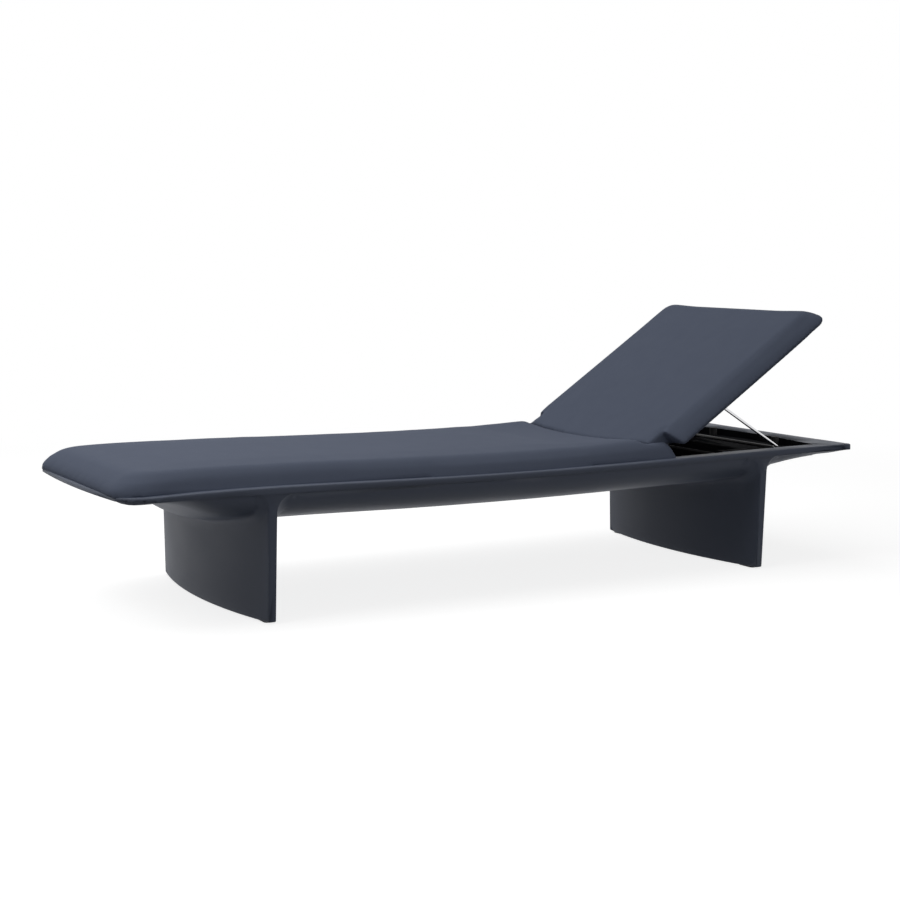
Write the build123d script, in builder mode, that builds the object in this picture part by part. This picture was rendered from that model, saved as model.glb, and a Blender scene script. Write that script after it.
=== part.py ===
# Sun lounger with a moulded base on two blade legs, a seat pad and a reclining back pad on a wire prop.
# Millimetres. X runs from the foot end to the head end, Z is up, and the origin is on the floor at the centre.
from build123d import *
from math import asin, atan2, cos, degrees, hypot, radians, sin, sqrt, tan
import os

os.makedirs("parts", exist_ok=True)

# Base shell: rim
base_length = 2100.0
base_width = 714.0
rim_height = 320.4
foot_bow = 19.6
head_bow = 6.6
foot_corner_radius = 90.0
head_corner_radius = 26.0
rim_band = 15.5
foot_tip_band = 9.0
band_fade_length = 260.0
rim_edge_radius = 4.0
wave_height = 10.1
rim_wave_shares = ((-1.0, -1.0), (-0.667, -0.18), (-0.333, -0.65), (0.0, -0.89), (0.333, -0.55), (0.667, 0.12), (1.0, 0.53))

# Base shell: hull
hull_inset = 4.5
hull_depth = 97.0
bilge_run = 62.0
bilge_sag = 38.6
hull_lap = 4.0
hull_section_shares = (
    (-0.985, 0.03),
    (-0.91, 0.3),
    (-0.81, 0.68),
    (-0.745, 0.93),
    (-0.7, 1.0),
    (-0.64, 1.01),
    (-0.5, 1.0),
    (-0.25, 1.0),
    (0.0, 1.0),
    (0.25, 1.0),
    (0.5, 1.0),
    (0.64, 1.01),
    (0.72, 0.99),
    (0.765, 0.93),
    (0.82, 0.76),
    (0.91, 0.4),
    (0.99, 0.06),
)

# Base shell: legs
front_leg_x = -689.0
rear_leg_x = 741.0
leg_sagitta = 42.5
leg_tip_top = 20.5
leg_tip_foot = 17.5
leg_draft = 11.0
leg_bottom_radius = 4.0
leg_trim = 1.0
leg_hull_radius = 16.0
front_tee_radii = (28.0, 46.0)
rear_tee_radii = (46.0, 40.0)
blend_place_shares = (0.0, 0.2, 0.4, 0.55, 0.7, 0.8, 0.88, 0.94, 0.97, 1.0)
blend_growth_share = 0.6
blend_lap = 6.0
blend_rise = 1.2

# Base shell: seat tray, hinge beam and head tub
tray_half_width = 312.0
tray_foot_x = -955.0
tray_head_x = 392.0
tray_floor_z = 298.0
tray_corner_radius = 60.0
beam_relief = 1.5
beam_relief_x = 430.0
tub_foot_x = 450.0
tub_head_x = 982.0
tub_half_width = 310.0
tub_floor_z = 252.0
tub_draft = 6.0
tub_corner_radius = 24.0
tub_crown = 2.0
tub_bilge_y = 250.0
tub_bilge_z = 262.0
tub_side_z = 306.0
tub_head_bow = 38.0
tub_ramp_start_x = 775.0
shelf_x = 940.0
shelf_z = 306.0
rib_top_z = 300.0
rib_width = 24.0
rib_foot_width = 34.0
rib_crown = 4.0
first_rib_x = 717.0
rib_pitch = 121.0
rack_y = 232.0
rack_width = 30.0
rack_foot_x = 686.0
notch_depth = 3.5
notch_play = 1.0

# Glides
glide_length = 60.0
glide_width = 22.0
glide_height = 3.5
glide_inset = 48.0
glide_screw_spacing = 34.0
glide_edge = 1.0

# Boards and pads
board_thickness = 12.0
board_corner_radius = 40.0
cover_thickness = 1.5
soft_clearance = 0.3
seat_rest_clearance = 0.4
seat_half_width = 343.0
seat_foot_x = -1038.0
seat_rear_x = 477.0
seat_height = 42.6
seat_bevel = 56.5
seat_crown = 3.0
seat_crown_inset = 150.0
seat_mean_dip = 6.4
seat_level_shares = ((-0.12, 0.02), (0.12, 0.0), (0.52, 0.35), (0.86, 0.74), (1.0, 1.0))
seat_corner_share = 0.7
seat_foot_bevel_share = 1.16
seat_rear_bevel_share = 0.2
seat_corner_radius = 84.0
seat_rear_corner_radius = 12.0
seat_board_gap = 6.0
seat_dish = 15.0
seat_dish_length = 380.0
dish_start = 0.5

# Back pad, measured along (s), across (y) and away from its underside (n)
hinge_x = 441.0
hinge_z = 320.4
back_angle = 33.67
back_flat_angle = 0.86
back_upright_angle = 60.0
back_length = 628.0
back_half_width = 342.5
back_thickness = 51.0
back_bevel = 38.6
back_crown = 2.5
back_crown_inset = 130.0
back_level_shares = ((0.0, 0.18), (0.07, 0.05), (0.2, 0.0), (0.55, 0.34), (0.84, 0.72), (1.0, 1.0))
back_corner_share = 0.6
back_corner_radius = 46.0
tongue_reach = 37.0
tongue_side_reach = 14.0
tongue_half_width = 286.0
tongue_corner_radius = 14.0
tongue_root_s = 8.0
tongue_root_n = 3.0
shoulder_foot_s = 49.0
shoulder_top_s = 39.0
horn_gap = 1.5
scoop_clearance = 1.2
hem_width = 30.0
back_board_s = 14.0
back_board_gap = 22.0

# Hinges
hinge_y = 200.0
hinge_width = 80.0
leaf_thickness = 3.0
leaf_length = 42.0
barrel_radius = 6.0
pin_radius = 2.5
pin_head_radius = 4.0
pin_head_height = 1.5
knuckle_share = 0.3
knuckle_gap = 0.4
bore_clearance = 0.05

# Fasteners
screw_radius = 2.0
screw_head_radius = 4.0
screw_head_height = 2.0
screw_length = 11.0
screw_clearance = 0.05
leaf_screw_spacing = 28.0
leaf_screw_reach = 26.0
stud_radius = 4.0
stud_length = 12.0
stud_head_radius = 9.0
stud_head_height = 2.0
stud_rows = 4
stud_row_pitch = 360.0
stud_across = 480.0

# Prop
prop_pivot_s = 237.9
prop_pivot_drop = 12.0
prop_length = 239.0
prop_half_width = 290.0
prop_rod_radius = 4.25
prop_bend_radius = 18.0
prop_stub_bend_radius = 10.0
prop_stub_length = 36.0
prop_foot_drop = 3.3
prop_ratio = -2.0
prop_seat_clearance = 0.5
clip_width = 18.0
clip_y = 270.0
clip_bore_clearance = 0.1
clip_wall = 4.5
clip_flange_length = 58.0
clip_flange_thickness = 4.0
clip_screw_spacing = 40.0
stop_angles = (12.0, 22.7, 33.67, 45.0, 57.0)

# Buffers under the flat back
buffer_radius = 11.0
buffer_x = 960.0
buffer_y = 140.0
buffer_stem_radius = 4.0
buffer_stem_length = 8.0
buffer_edge = 2.0

overrun = 40.0
half_length = base_length / 2
half_width = base_width / 2

# Planes and places that follow from these sizes
beam_top_z = hinge_z - barrel_radius
board_n = cover_thickness + soft_clearance
slope = radians(back_angle)
back_plane = Plane(origin=(hinge_x, 0, hinge_z), x_dir=(cos(slope), 0, sin(slope)), z_dir=(-sin(slope), 0, cos(slope)))
prop_pivot = back_plane.from_local_coords(Vector(prop_pivot_s, 0, -prop_pivot_drop))
prop_foot_z = hinge_z - prop_foot_drop
prop_fall = asin((prop_pivot.Z - prop_foot_z) / prop_length)
prop_plane = Plane(origin=prop_pivot, x_dir=(cos(prop_fall), 0, -sin(prop_fall)), z_dir=(sin(prop_fall), 0, cos(prop_fall)))
rack_top_z = prop_foot_z - prop_rod_radius - prop_seat_clearance
notch_radius = prop_rod_radius + notch_play


def prop_foot_x(angle):
    """Place of the prop's foot along the tub when the back stands at an angle."""
    arm = radians(angle) - atan2(prop_pivot_drop, prop_pivot_s)
    fall = prop_fall - (1 + prop_ratio) * radians(angle - back_angle)
    return hinge_x + hypot(prop_pivot_s, prop_pivot_drop) * cos(arm) + prop_length * cos(fall)


def side_plane(angle, y):
    """Plane across the lounger's width at y, with its x axis along the back at an angle."""
    turn = radians(angle)
    return Plane(origin=(hinge_x, y, hinge_z), x_dir=(cos(turn), 0, sin(turn)), z_dir=(0, -1, 0))


notch_places = [prop_foot_x(angle) for angle in stop_angles]
tray_middle_x = (tray_foot_x + tray_head_x) / 2
stud_places = [
    (tray_middle_x + (row - (stud_rows - 1) / 2) * stud_row_pitch, side * stud_across / 2)
    for row in range(stud_rows)
    for side in (-1, 1)
]
leaf_screw_ys = [side * hinge_y + step * leaf_screw_spacing for side in (-1, 1) for step in (-1, 0, 1)]
base_leaf_screw_places = [(hinge_x - leaf_screw_reach, y) for y in leaf_screw_ys]
glide_y = half_width - leg_draft - glide_inset
glide_places = {
    "front_near_glide": (front_leg_x, -glide_y),
    "front_far_glide": (front_leg_x, glide_y),
    "rear_near_glide": (rear_leg_x, -glide_y),
    "rear_far_glide": (rear_leg_x, glide_y),
}
glide_screw_places = [
    (x, y + side * glide_screw_spacing / 2) for x, y in glide_places.values() for side in (-1, 1)
]


def rim_points(drop=0.0):
    return [(share * half_length, rim_height + wave_height * rise - drop) for share, rise in rim_wave_shares]


rim_line = Spline(*rim_points())


def rim_top(x):
    """Height of the rim's top at a place along the length."""
    return (rim_line @ ((x + half_length) / base_length)).Y


def band_height(x):
    """Height of the rim band, which thins out towards the foot end."""
    fade = max(0.0, 1.0 - (x + half_length) / band_fade_length)
    return rim_band - (rim_band - foot_tip_band) * fade


def export(piece, name):
    piece.label = name
    export_step(piece, f"parts/{name}.step")


def rim_plan(height, inset=0.0):
    """Plan outline of the rim: bowed ends, large foot corners and small head corners."""
    side = half_width - inset
    foot = -half_length + inset
    head = half_length - inset
    with BuildSketch(Plane.XY.offset(height)) as plan:
        with BuildLine():
            ThreePointArc((foot + foot_bow, -side), (foot, 0), (foot + foot_bow, side))
            Line((foot + foot_bow, side), (head - head_bow, side))
            ThreePointArc((head - head_bow, side), (head, 0), (head - head_bow, -side))
            Line((head - head_bow, -side), (foot + foot_bow, -side))
        make_face()
        fillet(plan.vertices().filter_by(lambda v: v.X < 0), foot_corner_radius)
        fillet(plan.vertices().filter_by(lambda v: v.X > head - 2 * head_bow), head_corner_radius)
    return plan.sketch


def bilge_arc(x, depth_share):
    """Bottom arc and bilge arc of the hull at one place: radii, centres and the point where they meet."""
    band_bottom = rim_top(x) - band_height(x)
    bottom = band_bottom - hull_depth * depth_share
    sag = bilge_sag * depth_share
    turn_y = half_width - hull_inset - bilge_run
    bottom_radius = (turn_y**2 + sag**2) / (2 * sag)
    slope = turn_y / sqrt(bottom_radius**2 - turn_y**2)
    step_y, step_z = bilge_run, band_bottom - bottom - sag
    unit = hypot(1, slope)
    radius = (step_y**2 + step_z**2) / (2 * (step_z - step_y * slope) / unit)
    centre_y = turn_y - radius * slope / unit
    centre_z = bottom + sag + radius / unit
    return bottom, sag, turn_y, bottom_radius, slope, radius, centre_y, centre_z, band_bottom


def hull_depth_share(x):
    """Depth of the hull at a place along the length, as a share of its full depth."""
    place = x / half_length
    for (low, low_depth), (high, high_depth) in zip(hull_section_shares, hull_section_shares[1:]):
        if low <= place <= high:
            return low_depth + (high_depth - low_depth) * (place - low) / (high - low)
    return 0.0


def hull_bottom(x, y):
    """Height of the hull's underside."""
    arcs = bilge_arc(x, hull_depth_share(x))
    bottom, sag, turn_y, bottom_radius, slope, radius, centre_y, centre_z, band_bottom = arcs
    if abs(y) <= turn_y:
        return bottom + bottom_radius - sqrt(bottom_radius**2 - y**2)
    if abs(y) < half_width - hull_inset:
        return centre_z - sqrt(radius**2 - (abs(y) - centre_y) ** 2)
    return band_bottom


def hull_section(x, depth_share):
    """Cross-section of the hull: a shallow arc between two rounded bilges."""
    bottom, sag, turn_y, bottom_radius, slope, radius, centre_y, centre_z, band_bottom = bilge_arc(x, depth_share)
    side = half_width - hull_inset
    with BuildSketch(Plane.YZ.offset(x)) as section:
        with BuildLine():
            ThreePointArc((-turn_y, bottom + sag), (0, bottom), (turn_y, bottom + sag))
            TangentArc((turn_y, bottom + sag), (side, band_bottom), tangent=(1, slope))
            Line((side, band_bottom), (side, band_bottom + hull_lap))
            Line((side, band_bottom + hull_lap), (-side, band_bottom + hull_lap))
            Line((-side, band_bottom + hull_lap), (-side, band_bottom))
            TangentArc((-turn_y, bottom + sag), (-side, band_bottom), tangent=(-1, slope))
        make_face()
    return section.sketch


def leg_top(leg_x):
    return rim_top(leg_x) - rim_band + hull_lap


def leg_half_thickness(leg_x, y, height):
    """Half of a leg's thickness at a place along its width, at one height."""
    rise = (height - glide_height) / (leg_top(leg_x) - glide_height)
    half_span = half_width - leg_draft * (1 - rise)
    tip = leg_tip_foot + (leg_tip_top - leg_tip_foot) * rise
    arc_radius = (half_span**2 + leg_sagitta**2) / (2 * leg_sagitta)
    return tip / 2 + leg_sagitta - arc_radius + sqrt(arc_radius**2 - y**2)


def leg_section(leg_x, y, foot_radius, head_radius):
    """Section of a leg square to its width, with the blends that carry it into the hull's underside."""
    mean_seat = hull_bottom(leg_x, y)
    foot_face = leg_x - leg_half_thickness(leg_x, y, mean_seat - foot_radius)
    head_face = leg_x + leg_half_thickness(leg_x, y, mean_seat - head_radius)
    foot_end = foot_face - foot_radius
    head_end = head_face + head_radius
    foot_seat = hull_bottom(foot_end, y) + blend_rise
    head_seat = hull_bottom(head_end, y) + blend_rise
    foot_sole = leg_x - leg_half_thickness(leg_x, y, glide_height)
    head_sole = leg_x + leg_half_thickness(leg_x, y, glide_height)
    sole_z = glide_height + leg_bottom_radius
    with BuildSketch(Plane.XZ.offset(-y)) as section:
        with BuildLine():
            RadiusArc((foot_end, foot_seat), (foot_face, foot_seat - foot_radius), foot_radius)
            Line((foot_face, foot_seat - foot_radius), (foot_sole, sole_z))
            RadiusArc((foot_sole, sole_z), (foot_sole + leg_bottom_radius, glide_height), -leg_bottom_radius)
            Line((foot_sole + leg_bottom_radius, glide_height), (head_sole - leg_bottom_radius, glide_height))
            RadiusArc((head_sole - leg_bottom_radius, glide_height), (head_sole, sole_z), -leg_bottom_radius)
            Line((head_sole, sole_z), (head_face, head_seat - head_radius))
            RadiusArc((head_face, head_seat - head_radius), (head_end, head_seat), head_radius)
            Polyline(
                (head_end, head_seat),
                (head_end, head_seat + blend_lap),
                (foot_end, foot_seat + blend_lap),
                (foot_end, foot_seat),
            )
        make_face()
    return section.sketch


# Rim slab with its slight wave
with BuildPart() as rim_slab:
    with BuildSketch(Plane.XZ.offset(-half_width - overrun)):
        with BuildLine():
            upper = Spline(*rim_points())
            lower = Spline(
                (-half_length, rim_points()[0][1] - foot_tip_band),
                (-half_length + band_fade_length, rim_top(-half_length + band_fade_length) - rim_band),
                *rim_points(rim_band)[2:],
            )
            Line(upper @ 0, lower @ 0)
            Line(upper @ 1, lower @ 1)
        make_face()
    extrude(amount=2 * (half_width + overrun))
    extrude(rim_plan(0), amount=2 * rim_height, mode=Mode.INTERSECT)
    top_edge = rim_slab.edges().filter_by(lambda e: e.center().Z > rim_top(e.center().X) - rim_edge_radius / 2)
    fillet(top_edge, rim_edge_radius)

# The two blade legs with their blends, trimmed to the draft of their ends
with BuildPart() as legs:
    for leg_x, foot_radius, head_radius in ((front_leg_x, *front_tee_radii), (rear_leg_x, *rear_tee_radii)):
        sections = []
        for place in [-place for place in reversed(blend_place_shares[1:])] + list(blend_place_shares):
            growth = max(0.0, (abs(place) - blend_growth_share) / (1 - blend_growth_share)) ** 2
            sections.append(
                leg_section(
                    leg_x,
                    place * (half_width + leg_trim),
                    leg_hull_radius + (foot_radius - leg_hull_radius) * growth,
                    leg_hull_radius + (head_radius - leg_hull_radius) * growth,
                )
            )
        loft(sections)
        with BuildSketch(Plane.YZ.offset(leg_x)):
            for side in (-1, 1):
                sole_y = half_width - leg_draft
                with BuildLine():
                    Polyline(
                        (side * (sole_y - leg_bottom_radius), glide_height),
                        (side * (sole_y - leg_bottom_radius), glide_height - leg_bottom_radius),
                        (side * (half_width + overrun), glide_height - leg_bottom_radius),
                        (side * (half_width + overrun), rim_height),
                        (side * half_width, rim_height),
                        (side * half_width, leg_top(leg_x)),
                        (side * sole_y, glide_height + leg_bottom_radius),
                    )
                    RadiusArc(
                        (side * sole_y, glide_height + leg_bottom_radius),
                        (side * (sole_y - leg_bottom_radius), glide_height),
                        side * leg_bottom_radius,
                    )
                make_face()
        extrude(amount=3 * leg_sagitta, both=True, mode=Mode.SUBTRACT)

# Hollow of the head tub, kept inside the hull's bilges
with BuildPart() as tub_hollow:
    with BuildSketch(Plane.XZ.offset(-tub_half_width)):
        with BuildLine():
            Polyline(
                (tub_foot_x, rim_height + overrun),
                (tub_foot_x + tub_draft, tub_floor_z),
                (tub_ramp_start_x, tub_floor_z),
                (shelf_x - rib_width, shelf_z - tub_draft),
                (shelf_x, shelf_z),
                (tub_head_x, shelf_z),
                (tub_head_x, rim_height + overrun),
                close=True,
            )
        make_face()
    extrude(amount=2 * tub_half_width)
    with BuildSketch(Plane.YZ.offset(tub_foot_x - tub_draft)):
        with BuildLine():
            bottom = ThreePointArc((-tub_bilge_y, tub_bilge_z), (0, tub_floor_z - tub_crown), (tub_bilge_y, tub_bilge_z))
            TangentArc((tub_bilge_y, tub_bilge_z), (tub_half_width, tub_side_z), tangent=bottom % 1)
            Polyline(
                (tub_half_width, tub_side_z),
                (tub_half_width, rim_height + overrun),
                (-tub_half_width, rim_height + overrun),
                (-tub_half_width, tub_side_z),
            )
            TangentArc((-tub_bilge_y, tub_bilge_z), (-tub_half_width, tub_side_z), tangent=(bottom % 0) * -1)
        make_face()
    extrude(amount=base_length / 2, mode=Mode.INTERSECT)
    with BuildSketch(Plane.XY.offset(tub_floor_z - overrun)) as tub_plan:
        with BuildLine():
            ThreePointArc(
                (tub_head_x - tub_head_bow, -tub_half_width),
                (tub_head_x, 0),
                (tub_head_x - tub_head_bow, tub_half_width),
            )
            Polyline(
                (tub_head_x - tub_head_bow, tub_half_width),
                (tub_foot_x - tub_draft, tub_half_width),
                (tub_foot_x - tub_draft, -tub_half_width),
                (tub_head_x - tub_head_bow, -tub_half_width),
            )
        make_face()
        fillet(tub_plan.vertices(), tub_corner_radius)
    extrude(amount=base_width, mode=Mode.INTERSECT)
    # Stiffening ribs across the tub, and the two racks that carry the prop's foot
    for rib_x in (first_rib_x, first_rib_x + rib_pitch):
        with BuildSketch(Plane.XZ.offset(-tub_half_width - overrun)):
            with BuildLine():
                rib_foot_z = tub_floor_z - tub_crown
                rib_shoulder_z = rib_top_z - rib_crown
                ThreePointArc(
                    (rib_x - rib_width / 2, rib_shoulder_z), (rib_x, rib_top_z), (rib_x + rib_width / 2, rib_shoulder_z)
                )
                Polyline(
                    (rib_x + rib_width / 2, rib_shoulder_z),
                    (rib_x + rib_foot_width / 2, rib_foot_z),
                    (rib_x - rib_foot_width / 2, rib_foot_z),
                    (rib_x - rib_width / 2, rib_shoulder_z),
                )
            make_face()
        extrude(amount=2 * (tub_half_width + overrun), mode=Mode.SUBTRACT)
    for side in (-1, 1):
        with BuildSketch(Plane.XZ.offset(-side * rack_y - rack_width / 2)):
            with BuildLine():
                Polyline(
                    (rack_foot_x - tub_draft, tub_floor_z - tub_crown),
                    (rack_foot_x, rack_top_z),
                    (tub_head_x + overrun, rack_top_z),
                    (tub_head_x + overrun, tub_floor_z - tub_crown),
                    close=True,
                )
            make_face()
            with Locations(*[(place, rack_top_z + notch_radius - notch_depth) for place in notch_places]):
                Circle(notch_radius, mode=Mode.SUBTRACT)
        extrude(amount=rack_width, mode=Mode.SUBTRACT)

with BuildPart() as base_shell:
    add(legs.part)
    loft([hull_section(place * half_length, depth) for place, depth in hull_section_shares])
    add(rim_slab.part)
    # Seat tray, the lowered top of the hinge beam, and the head tub
    tray_length = tray_head_x - tray_foot_x
    with BuildSketch(Plane.XY.offset(tray_floor_z)) as tray:
        with Locations(((tray_foot_x + tray_head_x) / 2, 0)):
            Rectangle(tray_length, 2 * tray_half_width)
        fillet(tray.vertices().group_by(Axis.X)[0], tray_corner_radius)
    extrude(amount=overrun, mode=Mode.SUBTRACT)
    with BuildSketch(Plane.XY.offset(beam_top_z)):
        with Locations(((tray_head_x + tub_foot_x) / 2, 0)):
            Rectangle(tub_foot_x - tray_head_x + 2 * tub_draft, 2 * tub_half_width)
    extrude(amount=overrun, mode=Mode.SUBTRACT)
    with BuildSketch(Plane.XY.offset(beam_top_z - beam_relief)):
        with Locations(((beam_relief_x + tub_foot_x + tub_draft) / 2, 0)):
            Rectangle(tub_foot_x + tub_draft - beam_relief_x, 2 * tub_half_width)
    extrude(amount=overrun, mode=Mode.SUBTRACT)
    add(tub_hollow.part, mode=Mode.SUBTRACT)
    # Sockets for the seat's studs and the buffers, and pilot holes for the screws
    with Locations(*[Location((x, y, tray_floor_z)) for x, y in stud_places]):
        Hole(stud_radius + screw_clearance, depth=stud_length + screw_clearance)
    with Locations(*[Location((buffer_x, side * buffer_y, shelf_z)) for side in (-1, 1)]):
        Hole(buffer_stem_radius + screw_clearance, depth=buffer_stem_length + screw_clearance)
    with Locations(*[Location((x, y, beam_top_z)) for x, y in base_leaf_screw_places]):
        Hole(screw_radius + screw_clearance, depth=screw_length - leaf_thickness + screw_clearance)
    with Locations(*[Location((x, y, glide_height), (180, 0, 0)) for x, y in glide_screw_places]):
        Hole(screw_radius + screw_clearance, depth=screw_length - glide_height + screw_clearance)
export(base_shell.part, "base_shell")


def screw_group(places):
    """Countersunk screws, each with its head's top at a place and its shank below it."""
    with BuildPart() as screws:
        with Locations(*places):
            Cone(
                bottom_radius=screw_radius,
                top_radius=screw_head_radius,
                height=screw_head_height,
                align=(Align.CENTER, Align.CENTER, Align.MAX),
            )
            Cylinder(radius=screw_radius, height=screw_length, align=(Align.CENTER, Align.CENTER, Align.MAX))
    return screws.part


def screw_seats(places):
    """Cuts countersunk holes in the part being built."""
    with Locations(*places):
        CounterSinkHole(
            radius=screw_radius + screw_clearance,
            counter_sink_radius=screw_head_radius + screw_clearance,
            counter_sink_angle=2 * degrees(atan2(screw_head_radius - screw_radius, screw_head_height)),
        )


# Glides under the ends of the legs
glide_screws_at = [Location((x, y, 0), (180, 0, 0)) for x, y in glide_screw_places]
for name, (x, y) in glide_places.items():
    with BuildPart() as glide:
        with BuildSketch():
            with Locations((x, y)):
                SlotOverall(glide_length, glide_width, rotation=90)
        extrude(amount=glide_height)
        chamfer(glide.faces().sort_by(Axis.Z)[0].edges(), glide_edge)
        own_screws = [place for place in glide_screws_at if (place.position - Vector(x, y, 0)).length < glide_length]
        screw_seats(own_screws)
    export(glide.part, name)
export(screw_group(glide_screws_at), "glide_screws")


# Seat board on push-in studs
seat_board_x = (tray_foot_x + seat_board_gap, hinge_x - hypot(tongue_reach, back_thickness) - 2 * seat_board_gap)
with BuildPart() as seat_board:
    with BuildSketch(Plane.XY.offset(tray_floor_z)) as board_plan:
        with Locations((sum(seat_board_x) / 2, 0)):
            Rectangle(seat_board_x[1] - seat_board_x[0], 2 * (tray_half_width - seat_board_gap))
        fillet(board_plan.vertices().group_by(Axis.X)[0], tray_corner_radius - seat_board_gap)
    extrude(amount=board_thickness)
    with Locations(*[Location((x, y, tray_floor_z), (180, 0, 0)) for x, y in stud_places]):
        CounterBoreHole(
            radius=stud_radius + screw_clearance,
            counter_bore_radius=stud_head_radius + screw_clearance,
            counter_bore_depth=stud_head_height,
            depth=board_thickness - stud_head_height,
        )
export(seat_board.part, "seat_board")

with BuildPart() as seat_studs:
    with Locations(*[Location((x, y, tray_floor_z)) for x, y in stud_places]):
        Cylinder(radius=stud_head_radius, height=stud_head_height, align=(Align.CENTER, Align.CENTER, Align.MIN))
        Cylinder(radius=stud_radius, height=stud_length, align=(Align.CENTER, Align.CENTER, Align.MAX))
        Cylinder(
            radius=stud_radius,
            height=board_thickness - 2 * stud_head_height,
            align=(Align.CENTER, Align.CENTER, Align.MIN),
        )
export(seat_studs.part, "seat_studs")


def seat_outline(height, bevel, inset):
    """Plan of the seat pad at one height, with a longer bevel at the foot and a short one at the rear."""
    foot = seat_foot_x + seat_foot_bevel_share * bevel + inset
    rear = seat_rear_x - seat_rear_bevel_share * bevel - inset
    with BuildSketch(Plane.XY.offset(height)) as plan:
        with Locations(((foot + rear) / 2, 0)):
            Rectangle(rear - foot, 2 * (seat_half_width - bevel - inset))
        corner = max(seat_corner_radius - seat_corner_share * (bevel + inset), 2 * seat_rear_corner_radius)
        fillet(plan.vertices().group_by(Axis.X)[0], corner)
        fillet(plan.vertices().group_by(Axis.X)[-1], seat_rear_corner_radius)
    return plan.sketch


def seat_form(inset):
    """Seat pad: bevelled all round, slightly crowned, with a scoop for the back pad's end."""
    base_z = rim_height - seat_mean_dip
    with BuildPart() as form:
        levels = [
            seat_outline(base_z + seat_height * rise - inset * (rise > 0), seat_bevel * depth, inset)
            for rise, depth in seat_level_shares
        ]
        levels.append(seat_outline(base_z + seat_height + seat_crown - inset, seat_crown_inset, inset))
        loft(levels, ruled=True)
        # The underside follows the rim
        with BuildSketch(Plane.XZ.offset(-half_width)):
            with BuildLine():
                lift = seat_rest_clearance + inset
                top = Spline(*rim_points(-lift))
                Line(top @ 0, (top @ 0) - (0, overrun))
                Line((top @ 0) - (0, overrun), (top @ 1) - (0, overrun))
                Line((top @ 1) - (0, overrun), top @ 1)
            make_face()
        extrude(amount=base_width, mode=Mode.SUBTRACT)
        # Shallow dish in front of the back pad
        for place, depth, lift in ((hinge_x, seat_dish, 0), (hinge_x - seat_dish_length, dish_start, 3 * dish_start)):
            level = base_z + seat_height + seat_crown - inset + lift
            half_span = seat_half_width - seat_bevel
            with BuildSketch(Plane.YZ.offset(place)):
                with BuildLine():
                    ThreePointArc((-half_span, level), (0, level - depth), (half_span, level))
                    Polyline((half_span, level), (half_span, level + overrun), (-half_span, level + overrun),
                             (-half_span, level))
                make_face()
        loft(ruled=True, mode=Mode.SUBTRACT)
        # Scoop about the hinge line, and room for the tongue behind it
        side = tongue_half_width + horn_gap + inset
        crest = back_thickness + back_crown
        with BuildSketch(Plane.YZ.offset(hinge_x)):
            with BuildLine():
                middle = hinge_z + hypot(tongue_reach, crest) + scoop_clearance + inset
                end = hinge_z + hypot(tongue_side_reach, crest) + scoop_clearance + inset
                ThreePointArc((-side, end), (0, middle), (side, end))
                Polyline((side, end), (side, hinge_z), (-side, hinge_z), (-side, end))
            make_face()
        revolve(axis=Axis((hinge_x, 0, hinge_z), (0, 1, 0)), mode=Mode.SUBTRACT)
        with BuildSketch(Plane.XY.offset(hinge_z - overrun)):
            with Locations((hinge_x + overrun, 0)):
                Rectangle(2 * overrun, 2 * side)
        extrude(amount=3 * overrun, mode=Mode.SUBTRACT)
    return form.part


def seat_window(gap, low, high):
    """Block above the seat board, inside the pad's hem."""
    with BuildPart() as window:
        with BuildSketch(Plane.XY.offset(low)) as plan:
            with Locations(((seat_board_x[0] + seat_board_x[1]) / 2, 0)):
                Rectangle(seat_board_x[1] - seat_board_x[0] - 2 * gap, 2 * (tray_half_width - seat_board_gap - gap))
            fillet(plan.vertices().group_by(Axis.X)[0], tray_corner_radius - seat_board_gap)
        extrude(amount=high - low)
    return window.part


pad_floor = rim_height + seat_rest_clearance
with BuildPart() as seat_cover:
    add(seat_form(0))
    add(seat_form(cover_thickness), mode=Mode.SUBTRACT)
    add(seat_window(0, tray_floor_z, pad_floor + cover_thickness), mode=Mode.SUBTRACT)
export(seat_cover.part, "seat_cover")

with BuildPart() as seat_foam:
    add(seat_form(cover_thickness + soft_clearance))
    add(seat_window(soft_clearance, tray_floor_z + board_thickness + soft_clearance, pad_floor + board_thickness))
export(seat_foam.part, "seat_foam")


# Back pad
def back_outline(n, inset):
    """Plan of the back pad at one distance from its underside. Its lower end runs on and is cut later."""
    low = -2 * tongue_reach
    high = back_length - inset
    with BuildSketch(back_plane.offset(n)) as plan:
        with Locations(((low + high) / 2, 0)):
            Rectangle(high - low, 2 * (back_half_width - inset))
        top_corners = plan.vertices().filter_by(lambda v: back_plane.to_local_coords(v).X > 0)
        fillet(top_corners, max(back_corner_radius - back_corner_share * inset, back_bevel / 2))
    return plan.sketch


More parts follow.
